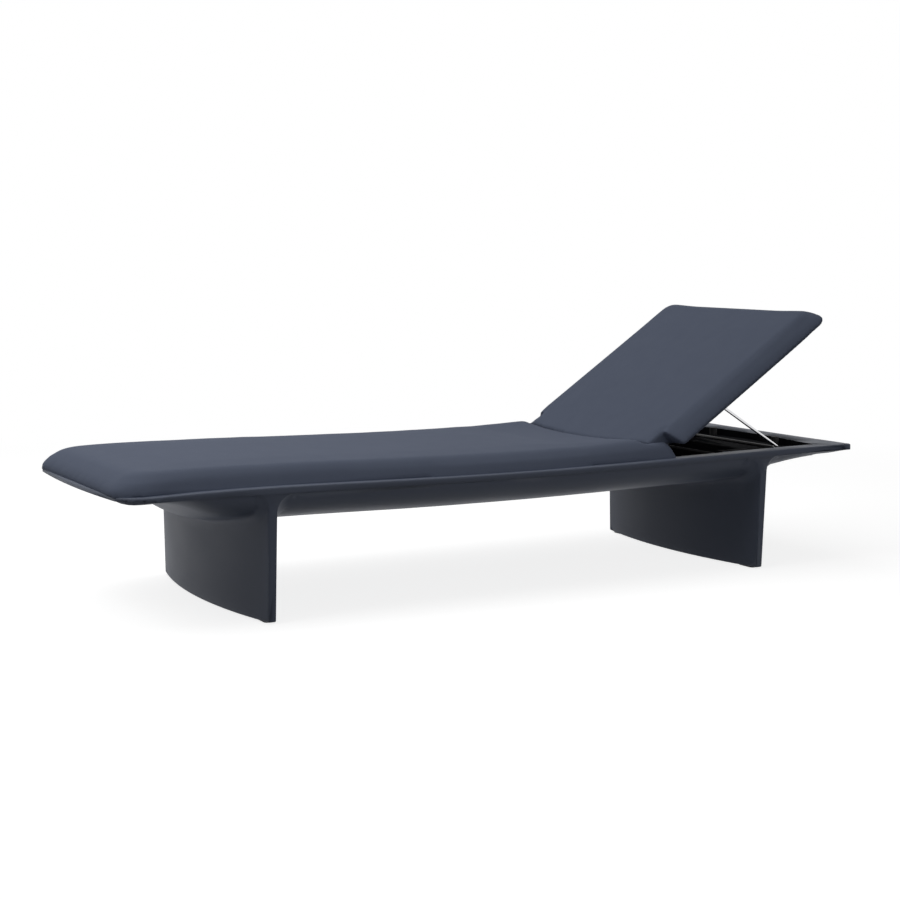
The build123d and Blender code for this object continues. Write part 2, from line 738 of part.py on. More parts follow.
def back_form(inset):
    """Back pad: bevelled on three sides, with a tongue at its lower end that dips into the seat's scoop."""
    with BuildPart() as form:
        levels = []
        for rise, depth in back_level_shares:
            n = min(max(back_thickness * rise, inset), back_thickness - inset)
            levels.append(back_outline(n, back_bevel * depth + inset))
        levels.append(back_outline(back_thickness + back_crown - inset, back_crown_inset + inset))
        loft(levels, ruled=True)
        # Shoulders beside the tongue
        deep = back_thickness + overrun
        side = tongue_half_width - inset
        for low, high in ((side, back_half_width), (-back_half_width, -side)):
            with BuildSketch(side_plane(back_angle, high)):
                with BuildLine():
                    Polyline(
                        (-4 * overrun, -overrun),
                        (shoulder_foot_s + inset, -overrun),
                        (shoulder_foot_s + inset, 0),
                        (shoulder_top_s + inset, back_thickness),
                        (shoulder_top_s + inset, deep),
                        (-4 * overrun, deep),
                        close=True,
                    )
                make_face()
            extrude(amount=high - low, mode=Mode.SUBTRACT)
        # Slanted underside of the tongue
        with BuildSketch(side_plane(back_angle, side)):
            with BuildLine():
                Polyline(
                    (-4 * overrun, -overrun),
                    (tongue_root_s + inset, -overrun),
                    (tongue_root_s + inset, tongue_root_n),
                    (-tongue_reach + inset, back_thickness),
                    (-tongue_reach + inset, deep),
                    (-4 * overrun, deep),
                    close=True,
                )
            make_face()
        extrude(amount=2 * side, mode=Mode.SUBTRACT)
        # Bowed edge of the tongue
        with BuildSketch(back_plane.offset(-overrun)):
            with BuildLine():
                ThreePointArc(
                    (-tongue_side_reach + inset, -side),
                    (-tongue_reach + inset, 0),
                    (-tongue_side_reach + inset, side),
                )
                Polyline(
                    (-tongue_side_reach + inset, side),
                    (-4 * overrun, side),
                    (-4 * overrun, -side),
                    (-tongue_side_reach + inset, -side),
                )
            make_face()
        extrude(amount=deep + overrun, mode=Mode.SUBTRACT)
    return form.part


back_board_s_end = back_length - back_board_gap
back_board_half = back_half_width - back_board_gap
back_screw_s = [leaf_screw_reach]
back_leaf_screws_at = [
    back_plane * Location((leaf_screw_reach, y, board_n - leaf_thickness), (180, 0, 0)) for y in leaf_screw_ys
]
clip_screws_at = [
    back_plane * Location((prop_pivot_s + step * clip_screw_spacing / 2, side * clip_y, board_n - clip_flange_thickness),
                          (180, 0, 0))
    for side in (-1, 1)
    for step in (-1, 1)
]


def board_block(grow, low, high):
    """The back board's block, grown evenly."""
    with BuildPart() as block:
        with BuildSketch(back_plane.offset(low)) as plan:
            with Locations(((back_board_s + back_board_s_end) / 2, 0)):
                Rectangle(back_board_s_end - back_board_s + 2 * grow, 2 * (back_board_half + grow))
            top_corners = plan.vertices().filter_by(lambda v: back_plane.to_local_coords(v).X > back_board_half)
            fillet(top_corners, board_corner_radius)
            for side in (-1, 1):
                with Locations((shoulder_foot_s / 2 + board_n, side * (tongue_half_width + back_half_width) / 2)):
                    Rectangle(
                        shoulder_foot_s + 2 * board_n - 2 * grow,
                        back_half_width - tongue_half_width + 2 * (hem_width / 6 - grow),
                        mode=Mode.SUBTRACT,
                    )
        extrude(amount=high - low)
    return block.part


with BuildPart() as back_board:
    add(board_block(0, board_n, board_n + board_thickness))
    with Locations(*[place * Location((0, 0, -leaf_thickness)) for place in back_leaf_screws_at]):
        Hole(screw_radius + screw_clearance, depth=screw_length - leaf_thickness + screw_clearance)
    with Locations(*[place * Location((0, 0, -clip_flange_thickness)) for place in clip_screws_at]):
        Hole(screw_radius + screw_clearance, depth=screw_length - clip_flange_thickness + screw_clearance)
export(back_board.part, "back_board")

with BuildPart() as back_cover:
    add(back_form(0))
    add(back_form(cover_thickness), mode=Mode.SUBTRACT)
    with BuildSketch(back_plane.offset(-cover_thickness)):
        window_end = back_board_s_end - hem_width / 2
        with Locations(((window_end - tongue_reach) / 2, 0)):
            Rectangle(window_end + tongue_reach, 2 * (back_board_half - hem_width / 2))
    extrude(amount=cover_thickness + board_n + soft_clearance, mode=Mode.SUBTRACT)
export(back_cover.part, "back_cover")

with BuildPart() as back_foam:
    add(back_form(cover_thickness + soft_clearance))
    add(board_block(soft_clearance, -board_n, board_n + board_thickness + soft_clearance), mode=Mode.SUBTRACT)
export(back_foam.part, "back_foam")


# Hinges
def knuckle_spans(middle_y, own_ends):
    """Spans of the knuckles across the width: a leaf has either the two end knuckles or the middle one."""
    low, high = middle_y - hinge_width / 2, middle_y + hinge_width / 2
    end_length = knuckle_share * hinge_width
    ends = [(low, low + end_length), (high - end_length, high)]
    middle = [(low + end_length + knuckle_gap, high - end_length - knuckle_gap)]
    return (ends, middle) if own_ends else (middle, ends)


def hinge_leaf(angle, middle_y, plate_reach, plate_low, own_ends, screw_places):
    """Hinge leaf: a plate that carries its knuckles, cut clear of the other leaf's."""
    own, other = knuckle_spans(middle_y, own_ends)
    with BuildPart() as leaf:
        with BuildSketch(side_plane(angle, middle_y + hinge_width / 2)):
            with Locations((plate_reach / 2, plate_low + leaf_thickness / 2)):
                Rectangle(abs(plate_reach), leaf_thickness)
        extrude(amount=hinge_width)
        for low, high in other:
            with BuildSketch(side_plane(angle, high + knuckle_gap)):
                Circle(barrel_radius + knuckle_gap)
            extrude(amount=high - low + 2 * knuckle_gap, mode=Mode.SUBTRACT)
        for low, high in own:
            with BuildSketch(side_plane(angle, high)):
                Circle(barrel_radius)
            extrude(amount=high - low)
        with BuildSketch(side_plane(angle, middle_y + hinge_width)):
            Circle(pin_radius + bore_clearance)
        extrude(amount=2 * hinge_width, mode=Mode.SUBTRACT)
        screw_seats(screw_places)
    return leaf.part


base_leaf_screws_at = [Location((x, y, beam_top_z + leaf_thickness)) for x, y in base_leaf_screw_places]
for name, side in (("near", -1), ("far", 1)):
    middle_y = side * hinge_y
    own_base = [place for place in base_leaf_screws_at if abs(place.position.Y - middle_y) < hinge_width]
    own_back = [place for place in back_leaf_screws_at if abs(place.position.Y - middle_y) < hinge_width]
    base_leaf = hinge_leaf(0, middle_y, -leaf_length, -barrel_radius, True, own_base)
    export(base_leaf, f"{name}_base_leaf")
    back_leaf = hinge_leaf(back_angle, middle_y, leaf_length, board_n - leaf_thickness, False, own_back)
    export(back_leaf, f"{name}_back_leaf")
    with BuildPart() as hinge_pin:
        with BuildSketch(side_plane(0, middle_y + hinge_width / 2)):
            Circle(pin_radius)
        extrude(amount=hinge_width)
        for face_y, way in ((middle_y + hinge_width / 2, -1), (middle_y - hinge_width / 2, 1)):
            with BuildSketch(side_plane(0, face_y)):
                Circle(pin_head_radius)
            extrude(amount=way * pin_head_height)
    export(hinge_pin.part, f"{name}_hinge_pin")
export(screw_group(base_leaf_screws_at), "base_leaf_screws")
export(screw_group(back_leaf_screws_at), "back_leaf_screws")


# Prop: one bent rod with its foot bar across the tub and two stubs that turn in the clips
with BuildPart() as prop_frame:
    stub_end = prop_half_width - prop_stub_length
    with BuildLine(prop_plane) as rod:
        FilletPolyline(
            (0, -stub_end),
            (0, -prop_half_width),
            (prop_length, -prop_half_width),
            (prop_length, prop_half_width),
            (0, prop_half_width),
            (0, stub_end),
            radius=(prop_stub_bend_radius, prop_bend_radius, prop_bend_radius, prop_stub_bend_radius),
        )
    with BuildSketch(Plane(origin=rod.line @ 0, z_dir=rod.line % 0)):
        Circle(prop_rod_radius)
    sweep()
export(prop_frame.part, "prop_frame")

for name, side in (("near", -1), ("far", 1)):
    with BuildPart() as clip:
        with BuildSketch(side_plane(back_angle, side * clip_y + clip_width / 2)):
            eye_radius = prop_rod_radius + clip_bore_clearance + clip_wall
            with Locations((prop_pivot_s, -prop_pivot_drop)):
                Circle(eye_radius)
            with Locations((prop_pivot_s, (board_n - prop_pivot_drop) / 2)):
                Rectangle(2 * eye_radius, board_n + prop_pivot_drop)
            with Locations((prop_pivot_s, board_n - clip_flange_thickness / 2)):
                Rectangle(clip_flange_length, clip_flange_thickness)
            with Locations((prop_pivot_s, -prop_pivot_drop)):
                Circle(prop_rod_radius + clip_bore_clearance, mode=Mode.SUBTRACT)
        extrude(amount=clip_width)
        screw_seats([place for place in clip_screws_at if place.position.Y * side > 0])
    export(clip.part, f"{name}_prop_clip")
export(screw_group(clip_screws_at), "prop_clip_screws")


# Rubber buffers that the flat back rests on
flat_slope = radians(back_flat_angle)
buffer_foot_edge_x = buffer_x - buffer_radius
buffer_top_z = (
    hinge_z + (buffer_foot_edge_x - hinge_x) * tan(flat_slope) + board_n / cos(flat_slope) - soft_clearance
)
with BuildPart() as back_buffers:
    for side in (-1, 1):
        with BuildSketch(Plane.XY.offset(shelf_z)):
            with Locations((buffer_x, side * buffer_y)):
                Circle(buffer_radius)
        extrude(amount=buffer_top_z - shelf_z)
        with BuildSketch(Plane.XY.offset(shelf_z - buffer_stem_length)):
            with Locations((buffer_x, side * buffer_y)):
                Circle(buffer_stem_radius)
        extrude(amount=buffer_stem_length)
    fillet(back_buffers.edges().group_by(Axis.Z)[-1], buffer_edge)
export(back_buffers.part, "back_buffers")
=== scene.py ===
import math

import bpy
from mathutils import Euler, Matrix, Vector


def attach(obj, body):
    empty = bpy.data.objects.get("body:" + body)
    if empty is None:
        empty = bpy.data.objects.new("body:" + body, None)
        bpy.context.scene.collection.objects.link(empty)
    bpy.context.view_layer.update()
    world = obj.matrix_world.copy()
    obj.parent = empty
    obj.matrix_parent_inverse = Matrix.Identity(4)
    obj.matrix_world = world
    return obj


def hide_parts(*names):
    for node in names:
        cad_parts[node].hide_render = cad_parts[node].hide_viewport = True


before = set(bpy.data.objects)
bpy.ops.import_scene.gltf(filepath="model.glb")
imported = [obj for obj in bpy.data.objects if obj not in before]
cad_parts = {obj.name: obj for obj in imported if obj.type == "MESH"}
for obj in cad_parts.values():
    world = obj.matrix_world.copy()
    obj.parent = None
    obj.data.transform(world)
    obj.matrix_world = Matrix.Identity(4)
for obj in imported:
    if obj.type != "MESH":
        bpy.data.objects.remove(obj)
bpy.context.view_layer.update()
bpy.ops.object.select_all(action="DESELECT")
scene = bpy.context.scene
mm = 0.001
weldDistance = 0.02 * mm
print("frame loaded:", len(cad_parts), "pieces")


# Colours and shader nodes

def toLinear(hexColour):  # an sRGB hex colour as linear red, green, blue, alpha
    parts = [int(hexColour[i:i + 2], 16) / 255 for i in (1, 3, 5)]
    return [p / 12.92 if p <= 0.04045 else ((p + 0.055) / 1.055) ** 2.4 for p in parts] + [1.0]


def addNode(material, kind, settings=None, links=None):
    tree = material.node_tree
    node = tree.nodes.new(kind)
    for name, value in (settings or {}).items():
        if isinstance(name, int) or name in node.inputs:
            node.inputs[name].default_value = value
        else:
            setattr(node, name, value)
    for name, source in (links or {}).items():
        tree.links.new(source[0].outputs[source[1]], node.inputs[name])
    return node


def newMaterial(name):
    material = bpy.data.materials.new(name)
    material.use_nodes = True
    material.node_tree.nodes.clear()
    return material


def finishMaterial(material, shader):
    addNode(material, "ShaderNodeOutputMaterial", links={"Surface": (shader, 0)})
    return material


reliefMm = {"sand": 0.2, "weave": 0.3, "puffs": 2.0, "brush": 0.05, "fine": 0.1}  # each texture's height
mouldedRange = (-0.04, 0.06)  # what a moulding's roughness may differ by
brushedRange = (0.8, 1.3)  # shares of a metal's roughness along its brush lines


# Rotation-moulded polyethylene with its tool's fine sand texture: dull, even, soft along the edges
def mouldedPolyethylene(name, look):
    material = newMaterial(name)
    place = addNode(material, "ShaderNodeTexCoord")
    grain = addNode(material, "ShaderNodeTexNoise", {"Scale": 1 / (look["grainMm"] * mm), "Detail": 2.0},
                    {"Vector": (place, "Object")})
    flow = addNode(material, "ShaderNodeTexNoise", {"Scale": 1 / (look["flowMm"] * mm), "Detail": 3.0},
                   {"Vector": (place, "Object")})
    rounded = addNode(material, "ShaderNodeBevel", {"samples": 4, "Radius": look["edgeMm"] * mm})
    bump = addNode(material, "ShaderNodeBump",
                   {"Strength": look["grainDepth"], "Distance": reliefMm["sand"] * mm},
                   {"Height": (grain, "Fac"), "Normal": (rounded, "Normal")})
    tone = addNode(material, "ShaderNodeMix",
                   {"data_type": "RGBA", 6: toLinear(look["low"]), 7: toLinear(look["high"])},
                   {0: (flow, "Fac")})
    rough = addNode(material, "ShaderNodeMapRange",
                    {3: look["rough"] + mouldedRange[0], 4: look["rough"] + mouldedRange[1]},
                    {0: (flow, "Fac")})
    shader = addNode(material, "ShaderNodeBsdfPrincipled", {"IOR": 1.5, "Specular IOR Level": look["shine"]},
                     {"Base Color": (tone, 2), "Roughness": (rough, 0), "Normal": (bump, "Normal")})
    return finishMaterial(material, shader)


# Coated outdoor polyester in plain weave: matt, with the faint grid of its threads
def wovenPolyester(name, look, turn=0.0):
    material = newMaterial(name)
    place = addNode(material, "ShaderNodeTexCoord")
    turned = addNode(material, "ShaderNodeMapping", {"Rotation": (0.0, turn, 0.0)},
                     {"Vector": (place, "Object")})
    threads = []
    for direction in ("X", "Y"):  # the bands repeat every pi / (10 * scale)
        threads.append(addNode(material, "ShaderNodeTexWave",
                               {"wave_type": "BANDS", "bands_direction": direction,
                                "Scale": math.pi / 10 / (look["threadMm"] * mm), "Distortion": 0.6},
                               {"Vector": (turned, "Vector")}))
    weave = addNode(material, "ShaderNodeMath", {"operation": "MULTIPLY"},
                    {0: (threads[0], "Fac"), 1: (threads[1], "Fac")})
    cloud = addNode(material, "ShaderNodeTexNoise", {"Scale": 1 / (look["cloudMm"] * mm), "Detail": 4.0},
                    {"Vector": (place, "Object")})
    bump = addNode(material, "ShaderNodeBump",
                   {"Strength": look["weaveDepth"], "Distance": reliefMm["weave"] * mm},
                   {"Height": (weave, 0)})
    puffs = addNode(material, "ShaderNodeBump",
                    {"Strength": look["cloudDepth"], "Distance": reliefMm["puffs"] * mm},
                    {"Height": (cloud, "Fac"), "Normal": (bump, "Normal")})
    tone = addNode(material, "ShaderNodeMix",
                   {"data_type": "RGBA", 6: toLinear(look["low"]), 7: toLinear(look["high"])},
                   {0: (cloud, "Fac")})
    shader = addNode(material, "ShaderNodeBsdfPrincipled",
                     {"Roughness": look["rough"], "IOR": 1.45, "Specular IOR Level": look["shine"],
                      "Sheen Weight": look["sheen"], "Sheen Roughness": 0.5},
                     {"Base Color": (tone, 2), "Normal": (puffs, "Normal")})
    return finishMaterial(material, shader)


# Stainless steel: polished after bending, or brushed along the leaf
def stainlessSteel(name, look):
    material = newMaterial(name)
    place = addNode(material, "ShaderNodeTexCoord")
    stretched = addNode(material, "ShaderNodeMapping", {"Scale": (1.0, look["stretch"], 1.0)},
                        {"Vector": (place, "Object")})
    lines = addNode(material, "ShaderNodeTexNoise", {"Scale": 1 / (look["lineMm"] * mm), "Detail": 2.0},
                    {"Vector": (stretched, "Vector")})
    bump = addNode(material, "ShaderNodeBump",
                   {"Strength": look["lineDepth"], "Distance": reliefMm["brush"] * mm},
                   {"Height": (lines, "Fac")})
    rough = addNode(material, "ShaderNodeMapRange",
                    {3: look["rough"] * brushedRange[0], 4: look["rough"] * brushedRange[1]},
                    {0: (lines, "Fac")})
    shader = addNode(material, "ShaderNodeBsdfPrincipled",
                     {"Base Color": toLinear(look["colour"]), "Metallic": 1.0},
                     {"Roughness": (rough, 0), "Normal": (bump, "Normal")})
    return finishMaterial(material, shader)


# Rubber and engineering plastic in small moulded pieces
def smallMoulding(name, look):
    material = newMaterial(name)
    place = addNode(material, "ShaderNodeTexCoord")
    grain = addNode(material, "ShaderNodeTexNoise", {"Scale": 1 / (look["grainMm"] * mm), "Detail": 3.0},
                    {"Vector": (place, "Object")})
    bump = addNode(material, "ShaderNodeBump", {"Strength": 0.25, "Distance": reliefMm["fine"] * mm},
                   {"Height": (grain, "Fac")})
    tone = addNode(material, "ShaderNodeMix",
                   {"data_type": "RGBA", 6: toLinear(look["low"]), 7: toLinear(look["high"])},
                   {0: (grain, "Fac")})
    shader = addNode(material, "ShaderNodeBsdfPrincipled", {"Roughness": look["rough"], "IOR": 1.5},
                     {"Base Color": (tone, 2), "Normal": (bump, "Normal")})
    return finishMaterial(material, shader)


shellLook = {"low": "#525969", "high": "#585f6f", "grainMm": 1.6, "flowMm": 140.0, "edgeMm": 6.0,
             "grainDepth": 0.12, "rough": 0.5, "shine": 0.2}
# Painted shade: a near-black colour with almost no shine for the inside of the tub, where shade falls down
# in the hollow
tubShadeLook = {"low": "#121317", "high": "#16171b", "grainMm": 1.6, "flowMm": 140.0, "edgeMm": 2.0,
           "grainDepth": 0.12, "rough": 0.85, "shine": 0.03}
boardLook = {"low": "#2b2d32", "high": "#303238", "grainMm": 1.2, "flowMm": 90.0, "edgeMm": 1.0,
             "grainDepth": 0.2, "rough": 0.6, "shine": 0.4}
coverLook = {"low": "#5c6476", "high": "#61697b", "threadMm": 2.4, "cloudMm": 55.0, "weaveDepth": 0.12,
             "cloudDepth": 0.05, "rough": 0.8, "shine": 0.12, "sheen": 0.02}
rodLook = {"colour": "#dcdcde", "stretch": 0.1, "lineMm": 0.8, "lineDepth": 0.04, "rough": 0.14}
leafLook = {"colour": "#b9babc", "stretch": 0.05, "lineMm": 0.5, "lineDepth": 0.3, "rough": 0.34}
clipLook = {"low": "#1b1c1f", "high": "#232428", "grainMm": 0.6, "rough": 0.45}
rubberLook = {"low": "#141415", "high": "#1c1c1e", "grainMm": 0.9, "rough": 0.8}

backSlope = 33.67  # degrees that the back leans at rest
shellMaterial = mouldedPolyethylene("rotomoulded_polyethylene", shellLook)
# painted shade for the inside of the tub
tubShadeMaterial = mouldedPolyethylene("tub_painted_shade", tubShadeLook)
boardMaterial = mouldedPolyethylene("moulded_panel", boardLook)
seatMaterial = wovenPolyester("coated_polyester_seat", coverLook)
backMaterial = wovenPolyester("coated_polyester_back", coverLook, -math.radians(backSlope))
rodMaterial = stainlessSteel("polished_stainless_rod", rodLook)
leafMaterial = stainlessSteel("brushed_stainless_leaf", leafLook)
clipMaterial = smallMoulding("black_acetal_clip", clipLook)
rubberMaterial = smallMoulding("black_rubber", rubberLook)

nodeMaterials = {
    "base_shell": shellMaterial,
    "seat_board": boardMaterial,
    "back_board": boardMaterial,
    "prop_frame": rodMaterial,
    "seat_studs": clipMaterial,
    "near_prop_clip": clipMaterial,
    "far_prop_clip": clipMaterial,
    "back_buffers": rubberMaterial,
}
for nodeName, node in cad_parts.items():
    if nodeName.endswith("_glide"):
        chosen = rubberMaterial
    else:
        chosen = nodeMaterials.get(nodeName, leafMaterial)
    node.data.materials.clear()
    node.data.materials.append(chosen)
print("materials made")


# Pieces made from a copy of a node's own mesh

def copyOfNode(nodeName, newName):
    piece = bpy.data.objects.new(newName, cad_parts[nodeName].data.copy())
    scene.collection.objects.link(piece)
    bpy.ops.object.select_all(action="DESELECT")
    piece.select_set(True)
    bpy.context.view_layer.objects.active = piece
    bpy.ops.object.mode_set(mode="EDIT")
    bpy.ops.mesh.select_all(action="SELECT")
    bpy.ops.mesh.remove_doubles(threshold=weldDistance)
    bpy.ops.object.mode_set(mode="OBJECT")
    return piece


def applyModifier(piece, kind, settings):
    modifier = piece.modifiers.new(kind.lower(), kind)
    for name, value in settings.items():
        setattr(modifier, name, value)
    bpy.ops.object.modifier_apply(modifier=modifier.name)


def ramp(value, low, high):  # 0 at low, 1 at high, smooth between them
    share = min(max((value - low) / (high - low), 0.0), 1.0)
    return share * share * (3 - 2 * share)


# Shell: the hull's corners drawn in under the rim, the head corners squarer, the overhangs shallower. In mm
shell = {
    "headRatios": ((756, 1.0), (803, 0.62), (861, 0.58), (955, 0.65), (1040, 1.0)),  # x, share of depth
    "footRatio": 0.6, "footAlong": (-930, -800),
    "bandHeight": 306.1, "bandSlope": 0.012, "bandStart": 700,
    "legTop": (150, 205), "hullWidth": 353, "hullInset": 4.5,
    "footCorner": {"centre": (-948.7, 267.0), "radius": 90.0, "bandBottom": 301.0},
    "headCorner": {"centre": (1018.3, 331.0), "radius": 26.0, "newRadius": 13.0, "bandBottom": 309.5},
    "tubCorner": {"centre": (925.1, 286.0), "radius": 24.3, "newRadius": 8.0, "floor": 250, "end": 960},
    "cornerCore": 0.3,  # share of a corner's radius that stays as it is
    "headReach": 10.0, "headEnd": 1050, "headAlong": (965, 1040), "headAcross": (120, 345),
    "tubReach": 7.0, "tubEnd": (915, 985), "tubWidth": 315, "tubAcross": (235, 290),
    "tubShadeBox": ((446, 250), (992, 316, 321)),  # the box where faces get the tub's painted shade, from x and z, to x, y and z
    "shadeInward": -0.3, "shadeUpward": -0.2,  # the least that a face with the tub's painted shade looks inwards and up
    "smoothAngle": 32,
}


def headRatio(x):  # the share of the hull's depth that is kept under the head end
    ratios = shell["headRatios"]
    for (lowX, lowRatio), (highX, highRatio) in zip(ratios, ratios[1:]):
        if lowX <= x <= highX:
            return lowRatio + (highRatio - lowRatio) * ramp(x, lowX, highX)
    return 1.0


def cornerPoint(x, y, corner, radius, newRadius):  # a point of a round corner, moved out to a squarer one
    outX, outY = x - corner["centre"][0], y - corner["centre"][1]
    reach = math.hypot(outX, outY)
    if outX <= 0 or outY <= 0 or reach < shell["cornerCore"] * radius:
        return x, y
    cosine, sine = outX / reach, outY / reach
    inner = radius - newRadius
    rest = newRadius ** 2 - (inner * (cosine - sine)) ** 2
    edge = radius / max(cosine, sine)
    if rest > 0:
        edge = min(edge, inner * (cosine + sine) + math.sqrt(rest))
    share = min(reach, radius) * edge / radius / reach
    return corner["centre"][0] + outX * share, corner["centre"][1] + outY * share


def makeShell():
    piece = copyOfNode("base_shell", "moulded_shell")
    foot, head, tub = shell["footCorner"], shell["headCorner"], shell["tubCorner"]
    for vertex in piece.data.vertices:
        x, y, z = (value / mm for value in vertex.co)
        side = 1 if y > 0 else -1
        y = abs(y)
        bandBottom = shell["bandHeight"] + shell["bandSlope"] * (x - shell["bandStart"])
        if x > 0 and z < bandBottom and y < shell["hullWidth"]:
            z += (1 - headRatio(x)) * (bandBottom - z) * ramp(z, *shell["legTop"])
        if x < shell["footAlong"][1] and z < foot["bandBottom"]:
            kept = shell["footRatio"] + (1 - shell["footRatio"]) * ramp(x, *shell["footAlong"])
            z += (1 - kept) * (foot["bandBottom"] - z)
        if x > head["centre"][0]:
            radius = head["radius"] - (shell["hullInset"] if z < head["bandBottom"] else 0)
            x, y = cornerPoint(x, y, head, radius, head["newRadius"])
        inCorner = math.dist((x, y), tub["centre"]) < tub["radius"]
        if inCorner and tub["centre"][0] < x < tub["end"] and z > tub["floor"]:
            x, y = cornerPoint(x, y, tub, tub["radius"], tub["newRadius"])
        if shell["tubEnd"][0] < x < shell["tubEnd"][1] and y < shell["tubWidth"]:
            x += shell["tubReach"] * ramp(y, *shell["tubAcross"])
        x += shell["headReach"] * ramp(x, *shell["headAlong"]) * ramp(y, *shell["headAcross"])
        outX, outY = x - foot["centre"][0], y - foot["centre"][1]
        reach = math.hypot(outX, outY)
        radius = foot["radius"] - (shell["hullInset"] if z < foot["bandBottom"] else 0)
        if outX < 0 and outY > 0 and reach > radius:
            x = foot["centre"][0] + outX * radius / reach
            y = foot["centre"][1] + outY * radius / reach
        vertex.co = (min(x, shell["headEnd"]) * mm, side * y * mm, z * mm)
    piece.data.materials.clear()
    piece.data.materials.append(shellMaterial)
    piece.data.materials.append(tubShadeMaterial)
    # Faces in the tub's box that look inwards and up get the second material, the painted shade of the tub's
    # inside
    low, high = shell["tubShadeBox"]
    for polygon in piece.data.polygons:
        x, y, z = (value / mm for value in polygon.center)
        inward = -polygon.normal.y if y > 0 else polygon.normal.y
        boxed = low[0] < x < high[0] and abs(y) < high[1] and low[1] < z < high[2]
        facing = inward > shell["shadeInward"] and polygon.normal.z > shell["shadeUpward"]
        polygon.material_index = 1 if boxed and facing else 0
    bpy.ops.object.shade_smooth_by_angle(angle=math.radians(shell["smoothAngle"]))
    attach(piece, "base")
    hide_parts("base_shell")
    print("shell has", len(piece.data.polygons), "faces")


makeShell()


# Padded pieces: the foam's shape, remeshed and blown up into its cover

coverStiffness = {"tension_stiffness": 40, "compression_stiffness": 40, "bending_stiffness": 5}


def inflate(piece, pad):  # blows the piece up like a filled cover, no further than its cap
    start = [v.co.copy() for v in piece.data.vertices]
    cloth = piece.modifiers.new("cover", "CLOTH")
    cloth.settings.use_pressure = True
    cloth.settings.uniform_pressure_force = pad["pressure"]
    for name, value in coverStiffness.items():
        setattr(cloth.settings, name, value)
    cloth.settings.effector_weights.gravity = 0
    cloth.collision_settings.use_self_collision = False
    for step in range(1, pad["frames"] + 1):
        scene.frame_set(step)
    bpy.ops.object.modifier_apply(modifier="cover")
    scene.frame_set(1)
    cap = pad["capMm"] * mm
    for vertex, before in zip(piece.data.vertices, start):
        move = vertex.co - before
        if move.length > cap:
            vertex.co = before + move * (cap / move.length)


def paddedPiece(nodeName, newName, pad, material, bodyName, replaced, hem):  # hem shapes its edges last
    piece = copyOfNode(nodeName, newName)
    applyModifier(piece, "REMESH", {"mode": "VOXEL", "voxel_size": pad["voxelMm"] * mm})
    applyModifier(piece, "SMOOTH", {"factor": 0.5, "iterations": pad["smoothing"]})
    inflate(piece, pad)
    applyModifier(piece, "SMOOTH", {"factor": 0.5, "iterations": pad["laterSmoothing"]})
    hem(piece, pad)
    bpy.ops.object.shade_smooth()
    piece.data.materials.clear()
    piece.data.materials.append(material)
    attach(piece, bodyName)
    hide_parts(*replaced)
    print(newName, "has", len(piece.data.polygons), "faces")


def between(table, x):  # a value read off a table of places and values
    if x <= table[0][0]:
        return table[0][1]
    for (lowX, low), (highX, high) in zip(table, table[1:]):
        if x <= highX:
            return low + (high - low) * (x - lowX) / (highX - lowX)
    return table[-1][1]


def rimHeights(step, rimWidth, rimLow):  # the rim's top edge, read off the shell: a list of x and height
    tops = {}
    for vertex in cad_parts["base_shell"].data.vertices:
        if abs(vertex.co.y) > rimWidth * mm and vertex.co.z > rimLow * mm:
            place = round(vertex.co.x / mm / step) * step
            tops[place] = max(tops.get(place, 0.0), vertex.co.z / mm)
    return sorted(tops.items())


# Seat pad: the foot end is steep, and its top stands a little higher at both ends
seatPad = {
    "voxelMm": 7.0, "smoothing": 2, "laterSmoothing": 2,
    "pressure": 4.0, "frames": 12, "capMm": 3.0, "fill": 0.9,
    "rimStep": 50, "rimWidth": 350, "rimLow": 300,  # where the rim is read, in mm like all below
    "height": 43.0, "flatTop": 313.5, "waveShare": 1.2,
    "hemStart": 2.0, "hemHeight": 26.0, "hemReach": 3.5, "hemDrop": 12.0, "soleFacing": -0.9,
    "footLift": 2.0, "footLiftAlong": (650, 900), "headLift": 4.0, "headLiftAlong": (200, 420),
    "footLow": 2.0, "footHigh": 15.0, "footRise": 2.5, "footAlong": (925, 985),
}


def seatHem(piece, pad):  # the top follows the rim's wave, the lower edge lies on the rim
    rim = rimHeights(pad["rimStep"], pad["rimWidth"], pad["rimLow"])
    normals = [vertex.normal.copy() for vertex in piece.data.vertices]
    for vertex, normal in zip(piece.data.vertices, normals):
        x, y, z = (value / mm for value in vertex.co)
        rimTop = between(rim, x)
        height = z - rimTop
        share = min(max(height / pad["height"], 0), 1)
        low = 1 - ramp(height, pad["hemStart"], pad["hemHeight"])
        lift = (rimTop - pad["flatTop"]) * pad["waveShare"]
        lift += pad["footLift"] * ramp(-x, *pad["footLiftAlong"])
        lift += pad["headLift"] * ramp(x, *pad["headLiftAlong"])
        if normal.z > pad["soleFacing"]:  # the sole stays as wide as it is
            x += normal.x * low * pad["hemReach"]
            y += normal.y * low * pad["hemReach"]
        z += lift * share - low * pad["hemDrop"]
        footReach = pad["footLow"] + (pad["footHigh"] - pad["footLow"]) * min(share * pad["footRise"], 1)
        x -= footReach * ramp(-x, *pad["footAlong"])
        vertex.co = (x * mm, y * mm, z * mm)


# Back pad: "along", "across" and "rise" are measured on the leaning panel, from the hinge line
backPad = {
    "voxelMm": 5.0, "smoothing": 1, "laterSmoothing": 2,
    "pressure": 4.0, "frames": 10, "capMm": 2.5, "fill": 0.9,
    "foot": (441.0, 320.4), "slope": backSlope,  # the hinge line in mm, the slope in degrees
    "fuller": 6.0, "fullerRise": (12, 45), "fullerAcross": (290, 330),
    "tongue": 6.0, "tongueAcross": (255, 280), "tongueAlong": (38, 48),
    "wider": 3.0, "widerAcross": (250, 310),
    "longer": 2.5, "corners": 5.0, "cornersAcross": (170, 300), "endAlong": (540, 610),
}


